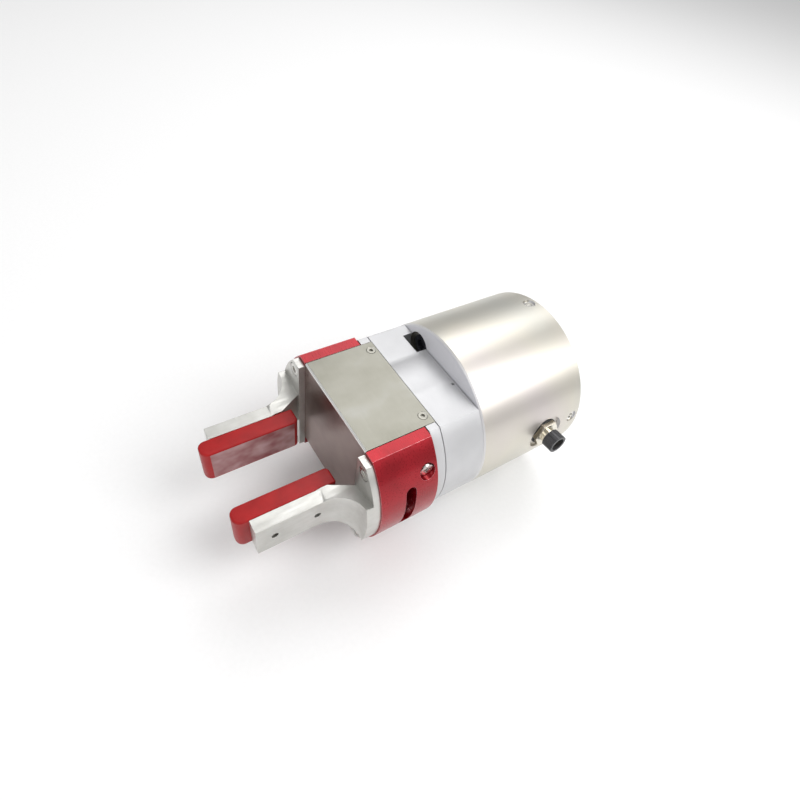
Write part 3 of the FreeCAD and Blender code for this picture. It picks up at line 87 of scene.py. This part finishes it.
class Material:
    """A node material with one Principled shader. Keyword names are its sockets, with _ for a space."""

    def __init__(self, name, **sockets):
        self.data = bpy.data.materials.new(name)
        self.data.use_nodes = True
        self.tree = self.data.node_tree
        self.shader = self.tree.nodes["Principled BSDF"]
        for socket, value in sockets.items():
            self.shader.inputs[socket.replace("_", " ")].default_value = value
        coordinates = self.node("ShaderNodeTexCoord")
        self.place = coordinates.outputs["Object"]
        self.normal = coordinates.outputs["Normal"]

    def node(self, kind, settings=None, **inputs):
        node = self.tree.nodes.new(kind)
        for name, value in (settings or {}).items():
            setattr(node, name, value)
        for name, value in inputs.items():
            self.feed(node.inputs[name.replace("_", " ")], value)
        return node

    def feed(self, socket, value):
        if isinstance(value, bpy.types.NodeSocket):
            self.tree.links.new(value, socket)
        else:
            socket.default_value = value

    def noise(self, grain, detail=3.0, roughness=0.55):
        """Noise whose grain is about that long in millimetres along x, y and z."""
        scale = [1 / (size * MM) for size in grain]
        scaled = self.node("ShaderNodeMapping", Vector=self.place, Scale=scale)
        noise = self.node("ShaderNodeTexNoise", Vector=scaled.outputs["Vector"], Scale=1.0, Detail=detail,
                          Roughness=roughness)
        return noise.outputs["Fac"]

    def ramp(self, factor, stops):
        """A colour for each (position, colour) stop along the factor."""
        node = self.node("ShaderNodeValToRGB", Fac=factor)
        elements = node.color_ramp.elements
        while len(elements) < len(stops):
            elements.new(position=0.5)
        for element, (position, colour) in zip(elements, stops):
            element.position = position
            element.color = (*colour, 1.0)
        return node.outputs["Color"]

    def map_range(self, value, **limits):
        """The value, stretched from between From_Min and From_Max to between To_Min and To_Max."""
        return self.node("ShaderNodeMapRange", Value=value, **limits).outputs["Result"]

    def spread(self, noise, low, high):
        """The noise, stretched to run from low to high."""
        return self.map_range(noise, From_Min=NOISE_LOW, From_Max=NOISE_HIGH, To_Min=low, To_Max=high)

    def mix(self, factor, first, second, kind="RGBA"):
        """The first colour or vector where the factor is 0, and the second where it is 1."""
        node = self.node("ShaderNodeMix", {"data_type": kind}, Factor=factor, A=first, B=second)
        return node.outputs["Result"]

    def vector_math(self, operation, *vectors):
        node = self.node("ShaderNodeVectorMath", {"operation": operation})
        for socket, vector in zip(node.inputs, vectors):
            self.feed(socket, vector)
        return node.outputs["Value" if operation == "DOT_PRODUCT" else "Vector"]

    def facing(self, axis, start=FACING_START, full=FACING_FULL):
        """1 where the surface faces the axis in the piece's own frame, and 0 elsewhere."""
        likeness = self.vector_math("DOT_PRODUCT", self.normal, axis)
        return self.map_range(likeness, From_Min=start, From_Max=full)

    def true_round(self):
        """The exact normal on round sides about the long axis, and the mesh's own normal elsewhere."""
        outward = self.vector_math("MULTIPLY", self.place, SQUARE_TO_AXIS)
        radial = self.vector_math("NORMALIZE", outward)
        likeness = self.vector_math("DOT_PRODUCT", self.normal, radial)
        is_round = self.map_range(likeness, From_Min=ROUND_START, From_Max=ROUND_FULL)
        blend = self.mix(is_round, self.normal, radial, kind="VECTOR")
        to_world = {"vector_type": "NORMAL", "convert_from": "OBJECT", "convert_to": "WORLD"}
        return self.node("ShaderNodeVectorTransform", to_world, Vector=blend).outputs["Vector"]

    def bumps(self, *layers, normal=None):
        """Surface relief from (height, depth in millimetres) layers, laid over each other."""
        for height, depth in layers:
            node = self.node("ShaderNodeBump", Height=height, Distance=depth * MM, Strength=1.0)
            if normal is not None:
                self.feed(node.inputs["Normal"], normal)
            normal = node.outputs["Normal"]
        self.feed(self.shader.inputs["Normal"], normal)

    def colour(self, value):
        self.feed(self.shader.inputs["Base Color"], value)

    def roughness(self, value):
        self.feed(self.shader.inputs["Roughness"], value)

    def metallic(self, value):
        self.feed(self.shader.inputs["Metallic"], value)


# --- materials --------------------------------------------------------------------------------------
def turned_shell():
    """Satin anodised tube with fine turning lines round its axis and faint warm and cool tints; its
    front-facing rim is a painted highlight, near-white.
    """
    look = Material("turned_shell")
    cloud = look.noise((60, 40, 60), detail=1.0)
    lines = look.noise((50, 0.18, 50), detail=5.0)
    side = look.ramp(cloud, [
        (0.30, (0.57, 0.57, 0.53)),
        (0.52, (0.65, 0.62, 0.55)),
        (0.72, (0.63, 0.58, 0.57)),
    ])
    # Painted highlight: faces toward the front, the rim round the block, get a near-white, mostly
    # non-metallic colour that stands in for the bright light on them.
    front = look.facing(FRONT)
    look.colour(look.mix(front, side, (0.80, 0.80, 0.84, 1.0)))
    look.metallic(look.map_range(front, To_Min=1.0, To_Max=0.15))
    look.roughness(look.spread(lines, 0.36, 0.42))
    fine = look.noise(even(0.3))
    look.bumps((lines, 0.0012), (fine, 0.002), normal=look.true_round())
    return look.data


def satin_block(name, light, dark):
    """Bead-blasted and anodised aluminium: a very fine even grain."""
    look = Material(name, Metallic=0.55)
    cloud = look.noise(even(20))
    grain = look.noise(even(0.28), detail=2.0)
    look.colour(look.ramp(cloud, [(0.35, dark), (0.65, light)]))
    look.roughness(look.spread(grain, 0.40, 0.54))
    look.bumps((grain, 0.008), normal=look.true_round())
    return look.data


def cover_sheet():
    """Rolled and plated sheet with painted reflections: grey-olive on top, a darker reddish front, and a
    near-white painted highlight on the sloped fold between.
    """
    look = Material("cover_sheet", Metallic=1.0)
    cloud = look.noise((18, 30, 18))
    grain = look.noise((6, 0.30, 0.30))
    # Painted reflections: the one sheet gets a grey-olive colour on top and a darker reddish one on its
    # front, for what each face reflects.
    top = look.ramp(cloud, [
        (0.30, (0.20, 0.195, 0.165)),
        (0.55, (0.235, 0.23, 0.20)),
        (0.75, (0.27, 0.268, 0.25)),
    ])
    front = look.ramp(cloud, [(0.30, (0.25, 0.18, 0.165)), (0.70, (0.34, 0.26, 0.24))])
    flat = look.mix(look.facing(FRONT), top, front)
    # Painted highlight: a near-white stripe along the sloped fold between top and front.
    fold_highlight = look.facing(FRONT_SLOPE, SLOPE_START, SLOPE_FULL)
    look.colour(look.mix(fold_highlight, flat, (0.97, 0.97, 0.95, 1.0)))
    look.roughness(look.spread(grain, 0.30, 0.36))
    look.bumps((grain, 0.0008), (cloud, 0.02))
    return look.data


def jaw_red():
    """Deep red anodised jaw under a gloss: slight orange peel, and scuffs that catch the light."""
    look = Material("jaw_red", Metallic=0.6, Coat_Weight=0.25, Coat_Roughness=0.12)
    cloud = look.noise(even(12))
    peel = look.noise(even(0.9), detail=2.0)
    scuff = look.noise((4, 0.6, 0.6), detail=6.0, roughness=0.7)
    look.colour(look.ramp(cloud, [(0.30, (0.26, 0.001, 0.007)), (0.70, (0.36, 0.003, 0.012))]))
    look.roughness(look.spread(scuff, 0.22, 0.40))
    look.bumps((peel, 0.002))
    return look.data


def jaw_edge():
    """The jaw's broken edges, painted pink to near-white as a highlight along them."""
    look = Material("jaw_edge", Metallic=0.5)
    highlight_noise = look.noise((2, 4, 4), detail=4.0)
    # Painted highlight: the bevelled edges get a pink to near-white colour.
    look.colour(look.ramp(highlight_noise, [(0.35, (0.70, 0.20, 0.23)), (0.62, (0.92, 0.62, 0.64))]))
    look.roughness(look.spread(highlight_noise, 0.25, 0.40))
    look.bumps((highlight_noise, 0.006))
    return look.data


def finger_metal():
    """Milled and tumbled aluminium: soft tool marks along the arm and small bright scratches."""
    look = Material("finger_metal", Metallic=1.0)
    cloud = look.noise(even(10), detail=4.0)
    marks = look.noise((1.2, 12, 1.2), detail=4.0)
    grain = look.noise(even(0.3), detail=2.0)
    look.colour(look.ramp(cloud, [(0.30, (0.54, 0.535, 0.505)), (0.70, (0.66, 0.655, 0.63))]))
    look.roughness(look.spread(marks, 0.30, 0.50))
    look.bumps((marks, 0.02), (grain, 0.008))
    return look.data


def pad_silicone():
    """Red silicone: a smooth moulded skin with fine dust, softer and deeper in the thick."""
    look = Material("pad_silicone", Subsurface_Weight=0.06, Subsurface_Scale=1.2 * MM,
                    Subsurface_Radius=(1.0, 0.25, 0.2), Coat_Weight=0.06, Coat_Roughness=0.3,
                    Specular_IOR_Level=0.3)
    cloud = look.noise(even(8))
    dust = look.noise(even(0.6), detail=5.0, roughness=0.7)
    red = look.ramp(cloud, [(0.30, (0.29, 0.0015, 0.003)), (0.70, (0.40, 0.004, 0.005))])
    look.colour(look.mix(look.spread(dust, 0.0, 0.018), red, (0.60, 0.25, 0.23, 1.0)))
    look.roughness(look.spread(dust, 0.34, 0.50))
    look.bumps((dust, 0.012), (cloud, 0.06))
    return look.data


def pad_face():
    """The pad's working face: the same silicone, rubbed smooth, with grey-pink painted over its red as a
    reflection.
    """
    look = Material("pad_face", Coat_Weight=0.30, Coat_Roughness=0.25)
    cloud = look.noise((8, 11, 8), detail=2.0)
    rub = look.noise((1.2, 3, 1.2))
    # Painted reflection: the colour runs from dark red to grey-pink, the grey-pink standing in for the
    # glossy reflection on the face.
    look.colour(look.ramp(cloud, [(0.34, (0.20, 0.030, 0.034)), (0.64, (0.42, 0.25, 0.25))]))
    look.roughness(look.spread(rub, 0.30, 0.38))
    look.bumps((rub, 0.002))
    return look.data


def steel(name, light, dark, smooth, rough, metallic=1.0):
    """Plated or ground steel, bronze or gold plate, with fine handling marks."""
    look = Material(name, Metallic=metallic)
    cloud = look.noise(even(4), detail=4.0)
    marks = look.noise(even(0.4), detail=4.0)
    look.colour(look.ramp(cloud, [(0.32, dark), (0.68, light)]))
    look.roughness(look.spread(marks, smooth, rough))
    look.bumps((marks, 0.008))
    return look.data


def plastic(name, light, dark, smooth, rough):
    """Moulded plastic, rubber or solder mask with a fine matt grain."""
    look = Material(name)
    grain = look.noise(even(0.3))
    cloud = look.noise(even(6))
    look.colour(look.ramp(cloud, [(0.35, dark), (0.65, light)]))
    look.roughness(look.spread(grain, smooth, rough))
    look.bumps((grain, 0.015))
    return look.data


def floor_paper():
    """Pale seamless paper with a faint tooth."""
    look = Material("floor_paper", Specular_IOR_Level=0.2)
    tooth = look.noise(even(2))
    look.colour(look.ramp(tooth, [(0.3, (0.93, 0.93, 0.93)), (0.7, (0.95, 0.95, 0.95))]))
    look.roughness(look.spread(tooth, 0.8, 0.95))
    return look.data


SLOT_MATERIALS = {
    "satin_shell": turned_shell(),
    "satin_block": satin_block("satin_block", (0.60, 0.60, 0.61), (0.54, 0.54, 0.55)),
    "cover_sheet": cover_sheet(),
    "jaw_red": jaw_red(),
    "finger_metal": finger_metal(),
    "pad_red": pad_silicone(),
    "screw_steel": steel("screw_steel", (0.80, 0.79, 0.76), (0.66, 0.65, 0.62), 0.16, 0.32),
    "gear_steel": steel("gear_steel", (0.60, 0.60, 0.61), (0.46, 0.46, 0.47), 0.22, 0.38),
    "connector_nickel": steel("connector_nickel", (0.80, 0.76, 0.66), (0.68, 0.64, 0.55), 0.14, 0.28),
    "connector_dark": steel("connector_dark", (0.085, 0.085, 0.090), (0.045, 0.045, 0.048), 0.30, 0.5,
                            metallic=0.4),
    "contact_gold": steel("contact_gold", (0.86, 0.68, 0.34), (0.76, 0.57, 0.25), 0.18, 0.3),
    "seal_rubber": plastic("seal_rubber", (0.035, 0.035, 0.036), (0.020, 0.020, 0.021), 0.6, 0.8),
    "board_green": plastic("board_green", (0.03, 0.20, 0.09), (0.015, 0.13, 0.055), 0.25, 0.45),
    "motor_black": plastic("motor_black", (0.05, 0.05, 0.055), (0.03, 0.03, 0.034), 0.3, 0.5),
    "bronze": steel("bronze", (0.66, 0.47, 0.25), (0.50, 0.34, 0.17), 0.35, 0.55),
}
NODE_MATERIALS = {
    "cover_screws": steel("dull_steel", (0.36, 0.35, 0.31), (0.24, 0.235, 0.21), 0.30, 0.45),
    # Painted shade: the screws in the motor ring's recesses are coloured near-black navy so the recesses
    # read as dark holes.
    "motor_ring_screws": steel("recess_shade_steel", (0.035, 0.037, 0.050), (0.018, 0.019, 0.027), 0.35, 0.5,
                               metallic=0.5),
}
EDGE_MATERIALS = {"jaw_red": jaw_edge()}
PAD_FACE = pad_face()


# --- rigid pieces: edges and materials --------------------------------------------------------------
# Widths of broken edges, in millimetres
EDGE_WIDTH = {
    "housing_shell": 0.25,
    "mid_block": 0.30,
    "guide_plate": 0.18,
    "front_cover": 0.10,
    "right_jaw": 0.42,
    "left_jaw": 0.42,
    "right_finger": 0.42,
    "left_finger": 0.42,
    "mounting_plate": 0.3,
}
SMALL_EDGE = 0.08
EDGE_FACETS = 2
SHARP_FROM = math.radians(28)
FLAT_WITHIN = math.radians(0.4)
SAME_POINT = 0.002 * MM
MAIN_SLOT = 0
SECOND_SLOT = 1


def join_facets(obj):
    """Join points that coincide, and faces that lie in one plane."""
    weld = obj.modifiers.new("Weld", "WELD")
    weld.merge_threshold = SAME_POINT
    merge = obj.modifiers.new("Merge flat facets", "DECIMATE")
    merge.decimate_type = "DISSOLVE"
    merge.angle_limit = FLAT_WITHIN


def break_edges(obj, width):
    """Bevel the sharp edges, and return the bevel."""
    bevel = obj.modifiers.new("Broken edges", "BEVEL")
    bevel.width = width * MM
    bevel.segments = EDGE_FACETS
    bevel.limit_method = "ANGLE"
    bevel.angle_limit = SHARP_FROM
    even_shading = obj.modifiers.new("Even shading", "WEIGHTED_NORMAL")
    even_shading.keep_sharp = True
    return bevel


def finish_rigid(node, obj, slot):
    """Join the piece's facets, break its sharp edges and give it its material."""
    obj.data.materials.clear()
    obj.data.materials.append(NODE_MATERIALS.get(node, SLOT_MATERIALS[slot]))
    join_facets(obj)
    bevel = break_edges(obj, EDGE_WIDTH.get(node, SMALL_EDGE))
    if slot in EDGE_MATERIALS:
        obj.data.materials.append(EDGE_MATERIALS[slot])
        bevel.material = SECOND_SLOT
    for face in obj.data.polygons:
        face.use_smooth = True
        face.material_index = MAIN_SLOT
    obj.data.set_sharp_from_angle(angle=SHARP_FROM)


def finish_all_rigid():
    slots = {part["node"]: part["material_slot"] for part in frame["record"]["subparts"]}
    for node, obj in frame["nodes"].items():
        finish_rigid(node, obj, slots[node])


# --- soft pads --------------------------------------------------------------------------------------
PAD_SOFT_EDGE = 0.8 * MM
PAD_HEEL = 1.9 * MM
PAD_NOSE = 3.0 * MM
PAD_FAR_HEEL = 0.6 * MM
PAD_LEAST_RADIUS = 0.15 * MM
PAD_LAYERS = 9
ARC_STEPS = 8
QUARTER = 90
FACE_AREA = 30 * MM * MM
FACE_TURN = 0.95


def pad_levels(half):
    """The (height, inset) of each ring from bottom to top, with the two rims rounded."""
    bottom = []
    for step in reversed(range(PAD_LAYERS)):
        turn = math.radians(QUARTER) * step / (PAD_LAYERS - 1)
        inset = PAD_SOFT_EDGE * (1 - math.cos(turn))
        bottom.append((-half + PAD_SOFT_EDGE * (1 - math.sin(turn)), inset))
    top = [(-height, inset) for height, inset in reversed(bottom)]
    return bottom + top


def pad_ring(low, high, inward, inset):
    """Points round the pad, seen from above and pulled in by inset.

    inward is -1 where the working face is at low x, and 1 where it is at high x.
    """
    near_x, far_x = (low.x, high.x) if inward < 0 else (high.x, low.x)
    corners = [
        (near_x, high.y, PAD_HEEL, (1, -1)),
        (near_x, low.y, PAD_NOSE, (1, 1)),
        (far_x, low.y, PAD_NOSE, (-1, 1)),
        (far_x, high.y, PAD_FAR_HEEL, (-1, -1)),
    ]
    points = []
    for number, (x, y, radius, (along_x, along_y)) in enumerate(corners, start=1):
        small = max(radius - inset, PAD_LEAST_RADIUS)
        reach = inset + small
        centre = Vector((x - inward * along_x * reach, y + along_y * reach))
        for step in range(ARC_STEPS + 1):
            turn = math.radians(QUARTER * (number + step / ARC_STEPS))
            points.append(centre + Vector((-inward * math.cos(turn), math.sin(turn))) * small)
    return points


def skin_rings(mesh, rings):
    """Join each ring of points to the next, and close the first and the last."""
    count = len(rings[0])
    for lower, upper in zip(rings, rings[1:]):
        for number in range(count):
            following = (number + 1) % count
            mesh.faces.new((lower[number], lower[following], upper[following], upper[number]))
    mesh.faces.new(reversed(rings[0]))
    mesh.faces.new(rings[-1])
    bmesh.ops.recalc_face_normals(mesh, faces=mesh.faces)


def is_working_face(face, inward):
    return face.normal.x * inward > FACE_TURN and face.calc_area() > FACE_AREA


def pad_mesh(name, low, high, inward):
    """A closed mesh, rounded at its corners and rims, in the space between low and high."""
    middle, half = (low.z + high.z) / 2, (high.z - low.z) / 2
    mesh = bmesh.new()
    rings = []
    for height, inset in pad_levels(half):
        points = pad_ring(low, high, inward, inset)
        rings.append([mesh.verts.new((x, y, middle + height)) for x, y in points])
    skin_rings(mesh, rings)
    for face in mesh.faces:
        face.smooth = True
        face.material_index = SECOND_SLOT if is_working_face(face, inward) else MAIN_SLOT
    data = bpy.data.meshes.new(name)
    mesh.to_mesh(data)
    mesh.free()
    return data


def make_pad(node, body, inward):
    """A moulded silicone pad in the place of its CAD node, with a smoother working face that carries a
    painted reflection.
    """
    name = node + "_soft"
    low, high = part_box(node)
    data = pad_mesh(name, low, high, inward)
    data.materials.append(SLOT_MATERIALS["pad_red"])
    data.materials.append(PAD_FACE)
    pad = bpy.data.objects.new(name, data)
    bpy.context.scene.collection.objects.link(pad)
    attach(pad, body)
    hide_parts(node)


# --- studio and camera ------------------------------------------------------------------------------
FLOOR_REACH = 3.0
WORLD_COLOUR = (1.0, 1.0, 1.0, 1.0)
WORLD_STRENGTH = 0.5
# Angles in degrees, lengths in metres and power in watts
SOFTBOXES = {
    "key": dict(azimuth=128, elevation=47, distance=1.1, width=0.55, height=0.8, power=7),
    "overhead": dict(azimuth=225, elevation=55, distance=1.2, width=0.8, height=0.8, power=5),
    "front_fill": dict(azimuth=20, elevation=30, distance=1.3, width=0.9, height=0.5, power=2.5),
}
CAMERA_AIM = Vector((-8.76, -65.51, 0.0)) * MM
CAMERA_AZIMUTH = 48.57
CAMERA_ELEVATION = 48.74
CAMERA_DISTANCE = 239.7 * MM
CAMERA_ROLL = 11.71
CAMERA_LENS = 24.01
CAMERA_SENSOR = 36.0
CAMERA_NEAREST = 10 * MM


def make_floor():
    low, _ = CAD_BOX
    corners = [(-1, -1), (1, -1), (1, 1), (-1, 1)]
    points = [(x * FLOOR_REACH, y * FLOOR_REACH, low[2]) for x, y in corners]
    data = bpy.data.meshes.new("floor")
    data.from_pydata(points, [], [range(len(points))])
    data.materials.append(floor_paper())
    floor = bpy.data.objects.new("floor", data)
    bpy.context.scene.collection.objects.link(floor)


def direction(azimuth, elevation):
    """Unit vector from the object; azimuth 0 is the -Y side and 90 is +X."""
    turn, rise = math.radians(azimuth), math.radians(elevation)
    return Vector((math.sin(turn) * math.cos(rise), -math.cos(turn) * math.cos(rise), math.sin(rise)))


def softbox(name, azimuth, elevation, distance, width, height, power):
    """A rectangular light that faces the middle of the object."""
    data = bpy.data.lights.new(name, "AREA")
    data.shape = "RECTANGLE"
    data.size = width
    data.size_y = height
    data.energy = power
    lamp = bpy.data.objects.new(name, data)
    middle = (Vector(CAD_BOX[0]) + Vector(CAD_BOX[1])) / 2
    lamp.location = middle + direction(azimuth, elevation) * distance
    lamp.rotation_euler = (middle - lamp.location).to_track_quat("-Z", "Y").to_euler()
    bpy.context.scene.collection.objects.link(lamp)


def make_light():
    """Even white surroundings and three softboxes, shown without a film curve so that reds stay deep."""
    bpy.context.scene.view_settings.view_transform = "Standard"
    world = bpy.data.worlds.new("studio")
    world.use_nodes = True
    background = world.node_tree.nodes["Background"]
    background.inputs["Color"].default_value = WORLD_COLOUR
    background.inputs["Strength"].default_value = WORLD_STRENGTH
    bpy.context.scene.world = world
    for name, settings in SOFTBOXES.items():
        softbox(name, **settings)


def make_camera():
    """A view from above the right jaw, rolled a little to the left."""
    data = bpy.data.cameras.new("camera")
    data.lens = CAMERA_LENS
    data.sensor_width = CAMERA_SENSOR
    data.clip_start = CAMERA_NEAREST
    camera = bpy.data.objects.new("camera", data)
    camera.location = CAMERA_AIM + direction(CAMERA_AZIMUTH, CAMERA_ELEVATION) * CAMERA_DISTANCE
    look = (CAMERA_AIM - camera.location).to_track_quat("-Z", "Y").to_matrix()
    roll = Matrix.Rotation(math.radians(CAMERA_ROLL), 3, "Z")
    camera.rotation_euler = (look @ roll).to_euler()
    bpy.context.scene.collection.objects.link(camera)
    bpy.context.scene.camera = camera


finish_all_rigid()
make_pad("right_pad", "right_jaw_slide", -1)
make_pad("left_pad", "left_jaw_slide", 1)
make_floor()
make_light()
make_camera()
